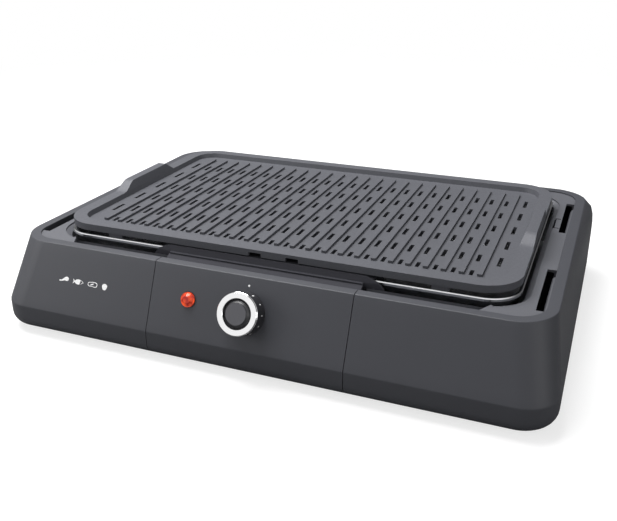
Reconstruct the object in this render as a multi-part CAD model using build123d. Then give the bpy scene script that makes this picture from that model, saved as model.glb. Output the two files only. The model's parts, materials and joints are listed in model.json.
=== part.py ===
from build123d import *
import math
import os

# Base casing: sizes in millimetres, angles in degrees
rim_width = 480.0
rim_depth = 329.0
rim_level = 84.0
rim_corner = 33.0
band_width = 9.3
side_bow = 1.4
side_flare = 10.2
rear_flare = 9.8
shoulder = 9.0
front_lean = 23.7
crease_drop = 56.3
crease_corner = 50.0
rear_corner_growth = 7.0
skirt_round = 15.0
skirt_start = 15.0
shell_bottom = 3.0
wall = 2.4
bottom_lip = 3.0
well_lip_wall = 1.8
well_lip_depth = 11.0
shelf_width = 3.0
shelf_thickness = 1.8

# Control unit opening in the front of the base
panel_half = 89.3
seam = 0.3
recess_depth = 23.5
cheek_wall = 2.0

# Clearances
fit = 0.3
running_fit = 0.05

# Drip tray
tray_width = 420.0
tray_depth = 274.8
tray_corner = 28.0
tray_bead = 2.6
tray_bead_top = 1.15
tray_sheet = 0.6
tray_height = 46.0
tray_draft = 9.5
tray_floor_round = 6.0
tray_floor_flare = 4.5
tray_gate_half = panel_half + 3.7
tray_gate_drop = 19.0

# Ledge frame between the band and the tray
ledge_drop = 1.5
ledge_sheet = 2.2
ledge_step = 1.5
step_margin = 7.0
edge_margin = 2.0
edge_drop = 6.0
edge_wall_bottom = 12.0
frame_wall = 1.8
slot_width = 7.6
slot_front = (-138.0, -57.0)
slot_rear = (34.0, 121.0)
tab_front = 44.0
tab_rear = 72.0
tab_gap = 2.0
trough_half = 190.0
trough_slant = 8.0
trough_depth = 7.2

# Heat shield under the tray
shield_margin = 2.6
shield_sheet = 0.6
shield_top_drop = 13.0
shield_pad = 3.0
pad_half = 9.0
shield_gate_drop = 29.0

# Base plate and its feet
plate_sheet = 2.4
boss_half = 3.5
boss_top = 32.0
post_radius = 5.0
foot_radius = 9.0
foot_x = 190.0
foot_y = 128.0
channel_x = 60.0
channel_width = 9.0
channel_height = 13.5
channel_wall = 1.6

# Grill plate
plate_width = 418.7
plate_depth = 267.9
plate_shift = -4.7
plate_corner = 32.5
plate_top = 12.2
plate_rim = 12.3
plate_rim_sheet = 3.0
plate_skirt = 6.2
plate_skirt_wall = 2.4
floor_depth = 4.8
floor_sheet = 4.0
floor_draft = 1.0
rib_pitch = 14.65
rib_count = 12
rib_width = 4.0
rib_height = 2.2
rib_front = -113.0
rib_rear = 102.0
drain_width = 3.3
drain_length = 15.5
drain_pitch = 36.75
drain_rows = 5
drain_middle = -1.8
drain_short_length = 10.0
drain_short_y = -107.2
outer_drain_x = 186.4
outer_drain_length = 19.0
outer_drain_pitch = 38.5
outer_drain_middle = -0.8
grip_rise = 8.0
grip_inner = 12.3
grip_draft = 2.6
grip_outer_inset = 0.3
grip_front = -28.0
grip_rear = 33.0
grip_ramp = 24.0
grip_rear_ramp = 11.0
notch_width = 11.5
notch_height = 3.4
notch_places = (-8.5, 25.5)
rest_foot_x = 150.0
rest_foot_width = 14.0
rest_foot_depth = 4.6
rear_foot_y = 85.0

# Bridge that carries the heating element over the front of the tray
slope_low_drop = 6.2
slope_setback = 1.8
bridge_wall = 2.5
crease_line = 141.2
bridge_top_front = 139.4
bridge_overlap = 9.4
bridge_top_rear = tray_depth / 2 - bridge_overlap
bridge_top = 4.8
hump_top_half = panel_half + 0.7
hump_bead_half = hump_top_half + 11
hump_low_half = hump_top_half + 16
hump_low = -4.5
duct_half = panel_half - 0.8
duct_floor = -17.0
duct_front = 144.0
leg_sheet = 2.0
leg_bottom = -28.0
lead_window_half = 45.0

# Heating element
tube_radius = 3.3
tube_level = -6.0
element_centre_y = -4.0
row_pitch = 52.0
row_outer = 168.0
row_inner = 26.0
terminal_x = 26.0
terminal_start = 136.0
bend_radius = 10.5
bush_radius = 5.0
comb_x = 107.0
comb_sheet = 1.2
comb_low = -12.0
comb_high = -0.5
sensor_radius = 3.0
sensor_length = 76.0

# Knob on the front wall
knob_x = 0.2
knob_drop = 30.4
knob_radius = 17.7
knob_gap = 0.6
knob_ring_level = 13.9
knob_sides = 48
knob_ring_inner = 12.5
knob_face = 16.6
ring_chamfer = 0.9
cone_radius = 9.2
cap_radius = 8.9
cap_low = 17.0
cap_level = 18.0
hub_radius = 5.5
shaft_radius = 3.0
shaft_flat = 1.8
shaft_hole = 3.8
bracket_depth = 8.2

# Pilot lamp on the front wall
lamp_x = -53.2
lamp_drop = 27.8
lamp_radius = 6.35
lamp_hole = 5.6

lean = math.radians(front_lean)
slant_y = math.sin(lean)
slant_z = math.cos(lean)

# The origin is under the middle of everything, knob included, on the surface that the feet stand on
knob_reach = rim_depth / 2 + (knob_drop + knob_radius) * slant_y + knob_face * slant_z
rear_reach = rim_depth / 2 + rear_flare
rim_y = (knob_reach - rear_reach) / 2
rim_front = rim_y - rim_depth / 2

os.makedirs("parts", exist_ok=True)


def block(face, height):
    """Straight prism upwards from a face."""
    return extrude(face, amount=height, dir=(0, 0, 1))


def rounded(half_x, half_y, corner, level, shift=0.0):
    """Rounded rectangle about the middle of the base, at a height from the floor."""
    return Pos(0, rim_y + shift, level) * RectangleRounded(2 * half_x, 2 * half_y, corner)


def box(x, y, z):
    """Box from its low and high values along each axis, with y from the middle of the base."""
    size = Box(x[1] - x[0], y[1] - y[0], z[1] - z[0])
    return Pos((x[0] + x[1]) / 2, rim_y + (y[0] + y[1]) / 2, (z[0] + z[1]) / 2) * size


def stud(x, y, low, high, radius, sides=8):
    """Upright prism with flat sides, for a small boss, post or foot that hardly shows."""
    prism = extrude(Rot(0, 0, 180 / sides) * RegularPolygon(radius, sides), amount=high - low)
    return Pos(x, rim_y + y, low) * prism


def hexagon(x, z, front, rear, radius):
    """Six-sided prism along Y."""
    prism = extrude(RegularPolygon(radius, 6), amount=rear - front)
    return Pos(x, rim_y + front, z) * Rot(-90, 0, 0) * prism


def profile(points, half_x):
    """Prism along X from a side outline of distances from the middle of the base and heights."""
    outline = Polyline(*[(rim_y + y, z) for y, z in points], close=True)
    return extrude(Plane.YZ * make_face(outline), amount=half_x, both=True)


def mirrored(shape):
    """A shape and its mirror image across the middle of the object."""
    return [shape, mirror(shape, about=Plane.YZ)]


def bent(points, corner):
    """Points of a level path with each right-angled corner turned in three steps round a radius."""
    vectors = [Vector(*point) for point in points]
    path = [vectors[0]]
    for before, place, after in zip(vectors, vectors[1:], vectors[2:]):
        into = (place - before).normalized()
        out = (after - place).normalized()
        centre = place - into * corner + out * corner
        reach = corner / math.cos(math.radians(15))
        for angle in (15, 45, 75):
            turn = math.radians(angle)
            path.append(centre - out * (reach * math.cos(turn)) + into * (reach * math.sin(turn)))
    return path + [vectors[-1]]


def tube(points, corner, radius):
    """Six-sided bar along a level path that starts along Y."""
    path = Polyline(*bent(points, corner))
    start = Plane(origin=path @ 0, x_dir=(1, 0, 0), z_dir=path % 0)
    return sweep(start * RegularPolygon(radius, 6), path=path, transition=Transition.RIGHT)


def save(name, *shapes):
    """Write the solids of one piece, or of one set of like pieces."""
    solids = [solid for shape in shapes for solid in shape.solids()]
    piece = solids[0] if len(solids) == 1 else Compound(children=solids)
    export_step(piece, "parts/" + name + ".step")


def skin_wire(drop, inset, level):
    """Outline of the casing at a drop below the band, moved inwards and set at a height."""
    bulge = 1 - math.exp(-drop / shoulder)
    half = rim_width / 2 + side_flare * bulge - inset
    front = rim_front - drop * math.tan(lean) + inset
    rear = rim_y + rim_depth / 2 + rear_flare * bulge - inset
    near = rim_corner + (crease_corner - rim_corner) * drop / crease_drop - inset
    far = rim_corner + rear_corner_growth * bulge - inset
    middle = (front + near + rear - far) / 2
    edges = [
        Line((near - half, front), (half - near, front)),
        CenterArc((half - near, front + near), near, -90, 90),
        ThreePointArc((half, front + near), (half + side_bow, middle), (half, rear - far)),
        CenterArc((half - far, rear - far), far, 0, 90),
        Line((half - far, rear), (far - half, rear)),
        CenterArc((far - half, rear - far), far, 90, 90),
        ThreePointArc((-half, rear - far), (-half - side_bow, middle), (-half, front + near)),
        CenterArc((near - half, front + near), near, 180, 90),
    ]
    return Pos(0, 0, level) * Wire(edges)


def casing(inset):
    """Solid inside the casing's outer skin, or inside a skin moved inwards by inset."""
    drops = [0, 3, 8, 18, 30, 43, crease_drop] if inset == 0 else [inset, 12, 26, 41, crease_drop]
    upper = Solid.make_loft([skin_wire(drop, inset, rim_level - drop) for drop in drops], True)
    turn = skirt_round - inset
    turn_level = shell_bottom + skirt_round * math.cos(math.radians(skirt_start))
    crease_level = rim_level - crease_drop
    skirt_face = Face(skin_wire(crease_drop, inset, turn_level))
    skirt = block(skirt_face, crease_level - turn_level)
    rounds = []
    for angle in (skirt_start, 50, 90) if inset == 0 else (skirt_start, 90):
        inwards = inset + turn * (1 - math.sin(math.radians(angle)))
        level = turn_level - turn * math.cos(math.radians(angle))
        rounds.append(skin_wire(crease_drop, inwards, level))
    curl = Solid.make_loft(rounds, True)
    return Part() + upper + skirt + curl


well_half_x = rim_width / 2 - band_width
well_half_y = rim_depth / 2 - band_width
well_corner = rim_corner - band_width
lip_inset = skirt_round * (1 - math.sin(math.radians(skirt_start))) + bottom_lip
plate_low = shell_bottom
plate_high = shell_bottom + plate_sheet
recess_rear = recess_depth - rim_depth / 2
notch_half = panel_half + seam / 2
unit_half = panel_half - seam / 2
channel_top = shell_bottom + channel_height

side_boss_x = rim_width / 2 - 8
end_boss_x = 150.0
front_boss_y = -165.0
rear_boss_y = 152.0
boss_places = [(side * side_boss_x, 0) for side in (-1, 1)]
boss_places += [(side * end_boss_x, y) for side in (-1, 1) for y in (front_boss_y, rear_boss_y)]

# Casing in one moulding: outer skin, band, well lip and the inward shelf that carries the frame
outer = casing(0)
hollow = casing(wall)
low_opening = block(Face(skin_wire(crease_drop, lip_inset, shell_bottom - 1)), 1 + wall)
well = block(rounded(well_half_x, well_half_y, well_corner, rim_level - 20), 21)
lip_face = rounded(
    well_half_x + well_lip_wall,
    well_half_y + well_lip_wall,
    well_corner + well_lip_wall,
    rim_level - well_lip_depth,
)
shelf_face = rounded(
    well_half_x - shelf_width,
    well_half_y - shelf_width,
    well_corner - shelf_width,
    rim_level - well_lip_depth,
)
skin = outer - hollow - low_opening - well
lip = block(lip_face, well_lip_depth) - well
shelf = block(lip_face, shelf_thickness) - block(shelf_face, shelf_thickness)
skin = skin + lip + shelf

base_shell = skin - box((-notch_half, notch_half), (-230, recess_rear), (0, rim_level + 1))
cheek_top = rim_level - 8.5
cheek = box((notch_half, notch_half + cheek_wall), (-230, recess_rear), (plate_high, cheek_top))
cheek = cheek & outer
for shape in mirrored(cheek):
    base_shell = base_shell + shape
for x, y in boss_places:
    sides = (x - boss_half, x + boss_half)
    boss = box(sides, (y - boss_half, y + boss_half), (plate_high, boss_top))
    reach = 40.0
    if abs(x) > end_boss_x:
        side = math.copysign(1, x)
        rib = box(sorted((x, x + side * reach)), (y - 1, y + 1), (plate_high, boss_top))
    else:
        side = math.copysign(1, y)
        rib = box((x - 1, x + 1), sorted((y, y + side * reach)), (plate_high, boss_top))
    base_shell = base_shell + ((boss + rib) & outer)
cord_arch = box(
    (channel_x - channel_width / 2 - fit, channel_x + channel_width / 2 + fit),
    (130, 220),
    (0, channel_top),
)
base_shell = base_shell - cord_arch
save("base_shell", base_shell)

# Base plate: closes the casing against the bosses, with posts for the heat shield and a channel below
plate_face = Face(skin_wire(crease_drop, lip_inset + fit, plate_low))
base_plate = block(plate_face, plate_sheet)
unit_bay = notch_half + cheek_wall + fit
base_plate = base_plate - box((-unit_bay, unit_bay), (-230, recess_rear + fit), (0, 20))
channel_outer = channel_width / 2 + channel_wall
channel_rear = rim_depth / 2 + rear_flare - lip_inset - fit
base_plate = base_plate + box(
    (channel_x - channel_outer, channel_x + channel_outer),
    (recess_rear + fit, channel_rear),
    (plate_low, channel_top + channel_wall),
)
base_plate = base_plate - box(
    (channel_x - channel_width / 2, channel_x + channel_width / 2),
    (recess_rear - 1, channel_rear + 1),
    (0, channel_top),
)
tray_floor = rim_level + tray_bead_top - tray_bead / 2 - tray_height
shield_pad_top = tray_floor
shield_floor = shield_pad_top - shield_pad
shield_under = shield_floor - shield_sheet
post_places = [(x, y) for x in (-140.0, 140.0) for y in (-80.0, 80.0)]
for x, y in post_places:
    base_plate = base_plate + stud(x, y, plate_low, shield_under, post_radius)
save("base_plate", base_plate)

# Rubber feet stuck under the base plate
foot_places = [(x, y) for x in (-foot_x, foot_x) for y in (-foot_y, foot_y)]
save("rubber_feet", *[stud(x, y, 0, plate_low, foot_radius, 16) for x, y in foot_places])

# Ledge frame: flat ledge, a small step, a slope down to the tray and a wall inside it
tray_half_x = tray_width / 2
tray_half_y = tray_depth / 2
ledge_level = rim_level - ledge_drop
step_level = ledge_level - ledge_step
edge_level = rim_level - edge_drop
frame_low = rim_level - well_lip_depth + shelf_thickness
frame_x = well_half_x - fit / 1.5
frame_y = well_half_y - fit / 1.5
frame_corner = well_corner - fit / 1.5
step_x = tray_half_x + step_margin
step_y = tray_half_y + step_margin
step_corner = tray_corner + step_margin
edge_x = tray_half_x + edge_margin
edge_y = tray_half_y + edge_margin
edge_corner = tray_corner + edge_margin


def frame_ring(margin_out, margin_in, low, high):
    """Ring between two outlines that run inside the well at a distance from its edge."""
    outside = rounded(frame_x - margin_out, frame_y - margin_out, frame_corner - margin_out, low)
    inside = rounded(frame_x - margin_in, frame_y - margin_in, frame_corner - margin_in, low)
    return block(outside, high - low) - block(inside, high - low)


frame_skirt = frame_ring(0, frame_wall, frame_low, ledge_level)
ledge_face = rounded(frame_x, frame_y, frame_corner, ledge_level - ledge_sheet)
ledge = block(ledge_face, ledge_sheet)
slope_bottom = edge_level - ledge_sheet
slope_body = block(rounded(step_x + 1.2, step_y + 1.2, step_corner + 1.2, slope_bottom), ledge_level - slope_bottom)
funnel = Solid.make_loft(
    [
        rounded(edge_x, edge_y, edge_corner, edge_level).face().outer_wire(),
        rounded(step_x - 0.6, step_y - 0.6, step_corner - 0.6, step_level).face().outer_wire(),
    ],
    True,
)
step_cut = block(rounded(step_x, step_y, step_corner, step_level), ledge_level - step_level + 1)
edge_cut = block(rounded(edge_x, edge_y, edge_corner, edge_level - 30), 30)
edge_wall_face = rounded(
    edge_x + frame_wall,
    edge_y + frame_wall,
    edge_corner + frame_wall,
    rim_level - edge_wall_bottom,
)
edge_wall = block(edge_wall_face, edge_wall_bottom - edge_drop)
inner_frame = Part() + ledge + slope_body + edge_wall + frame_skirt
inner_frame = inner_frame - funnel - step_cut - edge_cut

slot_outer = frame_x
slot_inner = slot_outer - slot_width
for span in (slot_front, slot_rear):
    slot = box((slot_inner, slot_outer + 1), span, (ledge_level - 6, rim_level))
    for shape in mirrored(slot):
        inner_frame = inner_frame - shape
tab_in = step_x - 1
tab_out = slot_inner - 0.8
tab_low = slope_bottom - 1
tab_cuts = [
    box((tab_in, tab_in + tab_gap), (tab_front, tab_rear), (tab_low, rim_level)),
    box((tab_in, tab_out), (tab_front, tab_front + tab_gap), (tab_low, rim_level)),
    box((tab_in, tab_out), (tab_rear - tab_gap, tab_rear), (tab_low, rim_level)),
]
for cut in tab_cuts:
    for shape in mirrored(cut):
        inner_frame = inner_frame - shape
trough_outer = frame_y + 1
trough_inner = edge_y + frame_wall
trough_level = rim_level - trough_depth
trough_outline = Polyline(
    (-trough_half, -trough_inner),
    (trough_half, -trough_inner),
    (trough_half - trough_slant, -trough_outer),
    (trough_slant - trough_half, -trough_outer),
    close=True,
)
trough = block(Pos(0, rim_y, trough_level) * make_face(trough_outline), 12)
trough_x = trough_half + frame_wall
trough_floor = (trough_level - frame_wall, trough_level)
trough_body = box((-trough_x, trough_x), (-frame_y + 1, -trough_inner), (trough_floor[0], ledge_level))
trough_body = trough_body + box((-trough_x, trough_x), (-trough_inner - 1, -trough_inner + 1), trough_floor)
inner_frame = inner_frame + trough_body - trough
inner_frame = inner_frame - box((-unit_bay, unit_bay), (-200, recess_rear + 2), (0, rim_level + 1))
save("inner_frame", inner_frame)

# Heat shield: sheet-metal pan with four pads that the tray stands on
shield_x = tray_half_x + shield_margin
shield_y = tray_half_y + shield_margin
shield_corner = tray_corner + shield_margin
shield_top = rim_level - shield_top_drop
shield_face = rounded(
    shield_x + shield_sheet,
    shield_y + shield_sheet,
    shield_corner + shield_sheet,
    shield_under,
)
shield_space = block(rounded(shield_x, shield_y, shield_corner, shield_floor), 80)
heat_shield = block(shield_face, shield_top - shield_under) - shield_space
gate = box((-unit_bay, unit_bay), (-200, -100), (rim_level - shield_gate_drop, rim_level))
heat_shield = heat_shield - gate
pad_places = [(x, y) for x in (-120.0, 120.0) for y in (-60.0, 60.0)]


def shield_box(x, y, half, low, high):
    """Square prism about a pad's middle."""
    return box((x - half, x + half), (y - half, y + half), (low, high))


for x, y in pad_places:
    heat_shield = heat_shield + shield_box(x, y, pad_half, shield_floor, shield_pad_top)
    pressed = shield_box(x, y, pad_half - shield_sheet, shield_under, shield_pad_top - shield_sheet)
    heat_shield = heat_shield - pressed
save("heat_shield", heat_shield)

# Drip tray: drawn sheet with a rolled bead, and a gate in front for the heating element
bead_level = tray_floor + tray_height


def tray_form(thin):
    """Solid of the tray's outside, or of its space: a short flared foot and a drafted wall."""
    foot_flare = math.degrees(math.atan(tray_floor_flare / tray_floor_round))
    wall_rise = tray_height - tray_floor_round
    draft = math.degrees(math.atan(tray_draft / wall_rise))
    inset = tray_bead / 2 - tray_sheet / 2 + thin
    foot_inset = inset + tray_draft + tray_floor_flare * (1 - thin / tray_floor_round)
    foot_face = tray_outline(foot_inset, tray_floor + thin)
    foot = extrude(foot_face, amount=tray_floor_round - thin, taper=-foot_flare)
    wall_face = tray_outline(inset + tray_draft, tray_floor + tray_floor_round)
    return foot + extrude(wall_face, amount=wall_rise, taper=-draft)


def tray_outline(inset, level):
    """Rounded outline that runs inside the tray's edge at a distance."""
    return rounded(tray_half_x - inset, tray_half_y - inset, tray_corner - inset, level)


tray_space = tray_form(tray_sheet)
drip_tray = Part() + tray_form(0) - tray_space
bead_low = bead_level - tray_bead / 2
bead = block(rounded(tray_half_x, tray_half_y, tray_corner, bead_low), tray_bead)
bead = chamfer(bead.edges().group_by(Axis.Z)[-1], tray_bead * 0.29)
bead_hole_x = tray_half_x - tray_bead
bead_hole_y = tray_half_y - tray_bead
bead_hole = block(rounded(bead_hole_x, bead_hole_y, tray_corner - tray_bead, bead_low - 1), tray_bead + 2)
drip_tray = drip_tray + (bead - bead_hole)
gate_low = rim_level - tray_gate_drop
tray_gate = box((-tray_gate_half, tray_gate_half), (-160, -110), (gate_low, rim_level + 5))
tray_gate = chamfer(tray_gate.edges().filter_by(Axis.Y).group_by(Axis.Z)[0], 5)
drip_tray = drip_tray - tray_gate
save("drip_tray", drip_tray)

# Control unit's front moulding: its part of the casing with bosses behind it
panel = skin & box((-unit_half, unit_half), (-230, recess_rear), (0, rim_level + 1))


def wall_place(x, drop):
    """Plane on the outside of the front wall, facing out of it, with its y axis up the wall."""
    origin = (x, rim_front - drop * slant_y, rim_level - drop * slant_z)
    return Plane(origin=origin, x_dir=(1, 0, 0), z_dir=(0, -slant_z, slant_y)).location


def faceted(radius, low, high, sides=8):
    """Prism with flat sides on a wall plane between two heights above it."""
    outline = Rot(0, 0, 180 / sides) * RegularPolygon(radius, sides)
    return Pos(0, 0, low) * extrude(outline, amount=high - low)


def standing(radius, low, high):
    """Cylinder on a wall plane between two heights above it."""
    cylinder = Cylinder(radius, high - low, align=(Align.CENTER, Align.CENTER, Align.MIN))
    return Pos(0, 0, low) * cylinder


knob_place = wall_place(knob_x, knob_drop)
lamp_place = wall_place(lamp_x, lamp_drop)
cover_rear = recess_rear - 3.2
cover_wall = 2.0
cover_inner = cover_rear - cover_wall
unit_boss_x = panel_half - 11.3
unit_boss_places = [(x, z) for x in (-unit_boss_x, unit_boss_x) for z in (28.0, 54.0)]
for x, z in unit_boss_places:
    panel = panel + (box((x - 3, x + 3), (-200, cover_inner), (z - 3, z + 3)) & outer)
bracket_screw_x = 19.0
for side in (-1, 1):
    boss = Pos(side * bracket_screw_x, 0, -bracket_depth / 2 - wall / 4) * Box(6, 12, bracket_depth - wall / 2)
    panel = panel + knob_place * boss
panel = panel - knob_place * faceted(shaft_hole, -10, 5)
panel = panel - lamp_place * faceted(lamp_hole + running_fit, -10, 5)
save("control_panel", panel)

# Rear cover of the control unit: back wall and side walls that follow the front moulding
cover_top = rim_level - well_lip_depth - fit
cover_half = unit_half - fit
cover_block = casing(wall + fit) & box(
    (-cover_half, cover_half), (-230, cover_rear), (plate_high, cover_top)
)
cover_space = box((-cover_half + cover_wall, cover_half - cover_wall), (-230, cover_inner), (0, 90))
rear_cover = cover_block - cover_space
leg_top = rim_level + leg_bottom
rear_cover = rear_cover - box((-lead_window_half, lead_window_half), (-160, -140), (leg_top + 1, 90))
gland_level = plate_high + 6.8
gland_radius = 4.6
gland_hole = hexagon(channel_x, gland_level, cover_inner - 1, cover_rear + 1, gland_radius + running_fit)
rear_cover = rear_cover - gland_hole
save("rear_cover", rear_cover)

# Bottom cover of the control unit
bottom_face = Face(skin_wire(crease_drop, lip_inset + fit, plate_low))
bottom_cover = block(bottom_face, plate_sheet - 0.05)
bottom_cover = bottom_cover & box((-cover_half, cover_half), (-230, cover_rear), (0, 20))
save("bottom_cover", bottom_cover)


def level(height):
    """Height above the floor of a height above the band."""
    return rim_level + height


# Bridge: slope behind the band, hump over the tray's front and a duct through the tray's gate
slope = profile(
    [
        (slope_setback - well_half_y, level(-slope_low_drop - bridge_wall)),
        (slope_setback - well_half_y, level(-slope_low_drop)),
        (-crease_line, level(0)),
        (-crease_line, level(-bridge_wall)),
    ],
    unit_half,
)
hump = profile(
    [
        (-crease_line, level(hump_low)),
        (-crease_line, level(0)),
        (-bridge_top_front, level(bridge_top)),
        (-bridge_top_rear, level(bridge_top)),
        (-bridge_top_rear, level(hump_low)),
    ],
    hump_low_half,
)
hump_front_outline = Polyline(
    (-hump_low_half, level(hump_low)),
    (-hump_bead_half, level(1.15)),
    (-hump_top_half - 3, level(bridge_top - 0.9)),
    (-hump_top_half, level(bridge_top)),
    (hump_top_half, level(bridge_top)),
    (hump_top_half + 3, level(bridge_top - 0.9)),
    (hump_bead_half, level(1.15)),
    (hump_low_half, level(hump_low)),
    close=True,
)
hump_trim = extrude(Plane.XZ * make_face(hump_front_outline), amount=200, both=True)
hump = hump & hump_trim
duct = box((-duct_half, duct_half), (-duct_front, -bridge_top_rear), (level(duct_floor), level(0)))
leg_rear = leg_sheet - duct_front
leg = box((-duct_half, duct_half), (-duct_front, leg_rear), (leg_top, level(duct_floor)))
roof = bridge_top - bridge_wall
inner_leg = bridge_wall + 0.1
duct_space = box(
    (cover_wall - duct_half, duct_half - cover_wall),
    (leg_rear, -bridge_top_rear - inner_leg),
    (level(duct_floor + 2), level(roof - 2.6)),
)
roof_space = box(
    (cover_wall - duct_half, duct_half - cover_wall),
    (3.2 - crease_line, -bridge_top_rear - inner_leg),
    (level(-4), level(roof)),
)
saddle_y = (-tray_half_y - 1.6, -bridge_top_rear - inner_leg)
saddles = mirrored(box((duct_half, 120), saddle_y, (level(-20), level(roof))))
bridge = Part() + slope + hump + duct + leg - duct_space - roof_space
for shape in saddles:
    bridge = bridge - shape
bush_places = [(-terminal_x, level(tube_level)), (terminal_x, level(tube_level))]
bush_bore = (-bridge_top_rear - 7, -bridge_top_rear + 8)
for x, z in bush_places:
    bridge = bridge - hexagon(x, z, *bush_bore, bush_radius + running_fit)
bridge = bridge - hexagon(0, level(tube_level), *bush_bore, sensor_radius + running_fit)
window = box((-lead_window_half, lead_window_half), (-150, leg_rear + 0.5), (level(-14), level(-8.4)))
bridge = bridge - window
save("bridge", bridge)

# Heating element: one tube bent into four rows on each side
rows = [element_centre_y + row_pitch * place for place in (-1.5, -0.5, 0.5, 1.5)]


def element_point(x, y):
    """Point of the element's centre line."""
    return (x, rim_y + y, level(tube_level))


half_path = [
    (terminal_x, -terminal_start),
    (terminal_x, rows[0]),
    (row_outer, rows[0]),
    (row_outer, rows[1]),
    (row_inner, rows[1]),
    (row_inner, rows[2]),
    (row_outer, rows[2]),
    (row_outer, rows[3]),
]
element_path = [element_point(-x, y) for x, y in half_path]
element_path += [element_point(x, y) for x, y in reversed(half_path)]
heating_element = tube(element_path, bend_radius, tube_radius)
save("heating_element", heating_element)

# Bushes that clamp the tube in the bridge, with a flange inside the tray
bush_front = -bridge_top_rear - inner_leg
bushes = []
for x, z in bush_places:
    bush = hexagon(x, z, bush_front - 2, -bridge_top_rear + 2, bush_radius)
    bush = bush + hexagon(x, z, -bridge_top_rear, -bridge_top_rear + 2, bush_radius + 2)
    bushes.append(bush - hexagon(x, z, bush_front - 20, -bridge_top_rear + 28, tube_radius + running_fit))
save("element_bushes", *bushes)

# Contact pins in the ends of the tube
pin_front = leg_rear + 1.0
pins = []
for x, z in bush_places:
    pins.append(box((x - 1.5, x + 1.5), (pin_front, -terminal_start), (z - 1.5, z + 1.5)))
save("element_pins", *pins)

# Combs that hold the rows apart, each with a leg that stands in the tray
comb_front = rows[0] - 6
comb_rear = rows[3] + 16
comb_foot = tray_floor + tray_sheet + fit
combs = []
for x in (-comb_x, comb_x):
    sheet = (x - comb_sheet / 2, x + comb_sheet / 2)
    comb = box(sheet, (comb_front, comb_rear), (level(comb_low), level(comb_high)))
    comb = comb + box(sheet, (comb_rear - 10, comb_rear), (comb_foot, level(comb_high)))
    comb = comb + box((x - 5, x + 5), (comb_rear - 10, comb_rear), (comb_foot, comb_foot + comb_sheet))
    for y in rows:
        seat = (level(tube_level - tube_radius - running_fit), level(comb_high + 1))
        comb = comb - box((x - 5, x + 5), (y - tube_radius - fit, y + tube_radius + fit), seat)
    combs.append(comb)
save("element_combs", *combs)

# Temperature sensor between the element's ends
sensor_front = -bridge_top_rear - inner_leg - 3
sensor = hexagon(0, level(tube_level), sensor_front, sensor_front + sensor_length, sensor_radius)
save("sensor_bulb", sensor)

# Knob: hollow body with a hub and a cone on top, a bright ring round the cone and a cap on it
knob_body = faceted(knob_radius, knob_gap, knob_ring_level, knob_sides)
cone_low = knob_ring_inner - running_fit
cone_slant = math.degrees(math.atan((cone_low - cone_radius) / (cap_low - knob_ring_level)))
cone_outline = Rot(0, 0, 180 / knob_sides) * RegularPolygon(cone_low, knob_sides)
cone = extrude(cone_outline, amount=cap_low - knob_ring_level, taper=cone_slant)
knob_body = knob_body + Pos(0, 0, knob_ring_level) * cone
knob_hollow = faceted(knob_radius - 2.0, 0, knob_ring_level - 2.4)
knob_hub = faceted(hub_radius, knob_gap + 1.5, knob_ring_level - 2.4)
shaft_top = knob_ring_level - 1.0
shaft_bore = standing(shaft_radius + running_fit, 0, shaft_top + 0.1)
flat_width = 2 * shaft_radius + 2
flat_filler = Pos(shaft_flat + running_fit + shaft_radius, 0, shaft_top / 2)
flat_filler = flat_filler * Box(2 * shaft_radius, flat_width, shaft_top + 2)
shaft_bore = shaft_bore - flat_filler
knob_body = knob_body - (knob_hollow - knob_hub) - shaft_bore
save("knob_body", knob_place * knob_body)

knob_ring = faceted(knob_radius, knob_ring_level, knob_face, knob_sides)
knob_ring = chamfer(knob_ring.edges().group_by(Axis.Z)[-1], ring_chamfer)
knob_ring = knob_ring - faceted(knob_ring_inner, knob_ring_level - 1, knob_face + 1, knob_sides)
save("knob_ring", knob_place * knob_ring)

knob_cap = faceted(cap_radius, cap_low, cap_level, knob_sides)
save("knob_cap", knob_place * knob_cap)

# Thermostat: body, threaded neck, bracket, nut, shaft and capillary
shaft_low = -bracket_depth - 5.0
shaft_body = standing(shaft_radius, shaft_low, shaft_top)
shaft_cut = Pos(shaft_radius / 2 + shaft_flat, 0, shaft_top / 2 + 2)
shaft_body = shaft_body - shaft_cut * Box(shaft_radius, 3 * shaft_radius, shaft_top)
save("thermostat_shaft", knob_place * shaft_body)

bracket_sheet = 1.2
neck_radius = 5.0
bracket_back = -bracket_depth - bracket_sheet
bracket = Pos(0, 0, bracket_back + bracket_sheet / 2) * Box(48, 22, bracket_sheet)
bracket = bracket - faceted(neck_radius + running_fit, bracket_back - 1, 0)
save("thermostat_bracket", knob_place * bracket)

thermostat_depth = 16.0
thermostat_back = bracket_back - thermostat_depth
body = Pos(0, 0, bracket_back - thermostat_depth / 2) * Box(30, 26, thermostat_depth)
body = chamfer(body.edges().filter_by(Axis.Z), 3)
body = body + faceted(neck_radius, bracket_back, -4.2)
body = body + faceted(10, thermostat_back - 2.5, thermostat_back)
for x in (-9, 9):
    blade = Pos(x, -14.5, thermostat_back + 5) * Box(5, 5, 0.8)
    body = body + blade
body = body - standing(shaft_radius + running_fit, shaft_low - 0.3, 0)
save("thermostat_body", knob_place * body)

nut = extrude(Pos(0, 0, -bracket_depth) * RegularPolygon(7.5, 6), amount=2.6)
nut = nut - faceted(neck_radius + running_fit, -bracket_depth - 1, 0)
save("thermostat_nut", knob_place * nut)

# Pilot lamp: a faceted lens through the wall and a holder with the lamp behind it
lens_head = 1.4
lens_rise = 2.0
lens_slant = 50.0
lens = faceted(lamp_hole, -5, 0) + faceted(lamp_radius, 0, lens_head, 24)
facets = Rot(0, 0, 22.5) * RegularPolygon(lamp_radius - 0.6, 8)
dome = Pos(0, 0, lens_head) * extrude(facets, amount=lens_rise, taper=lens_slant)
save("lamp_lens", lamp_place * (lens + dome))

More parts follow.
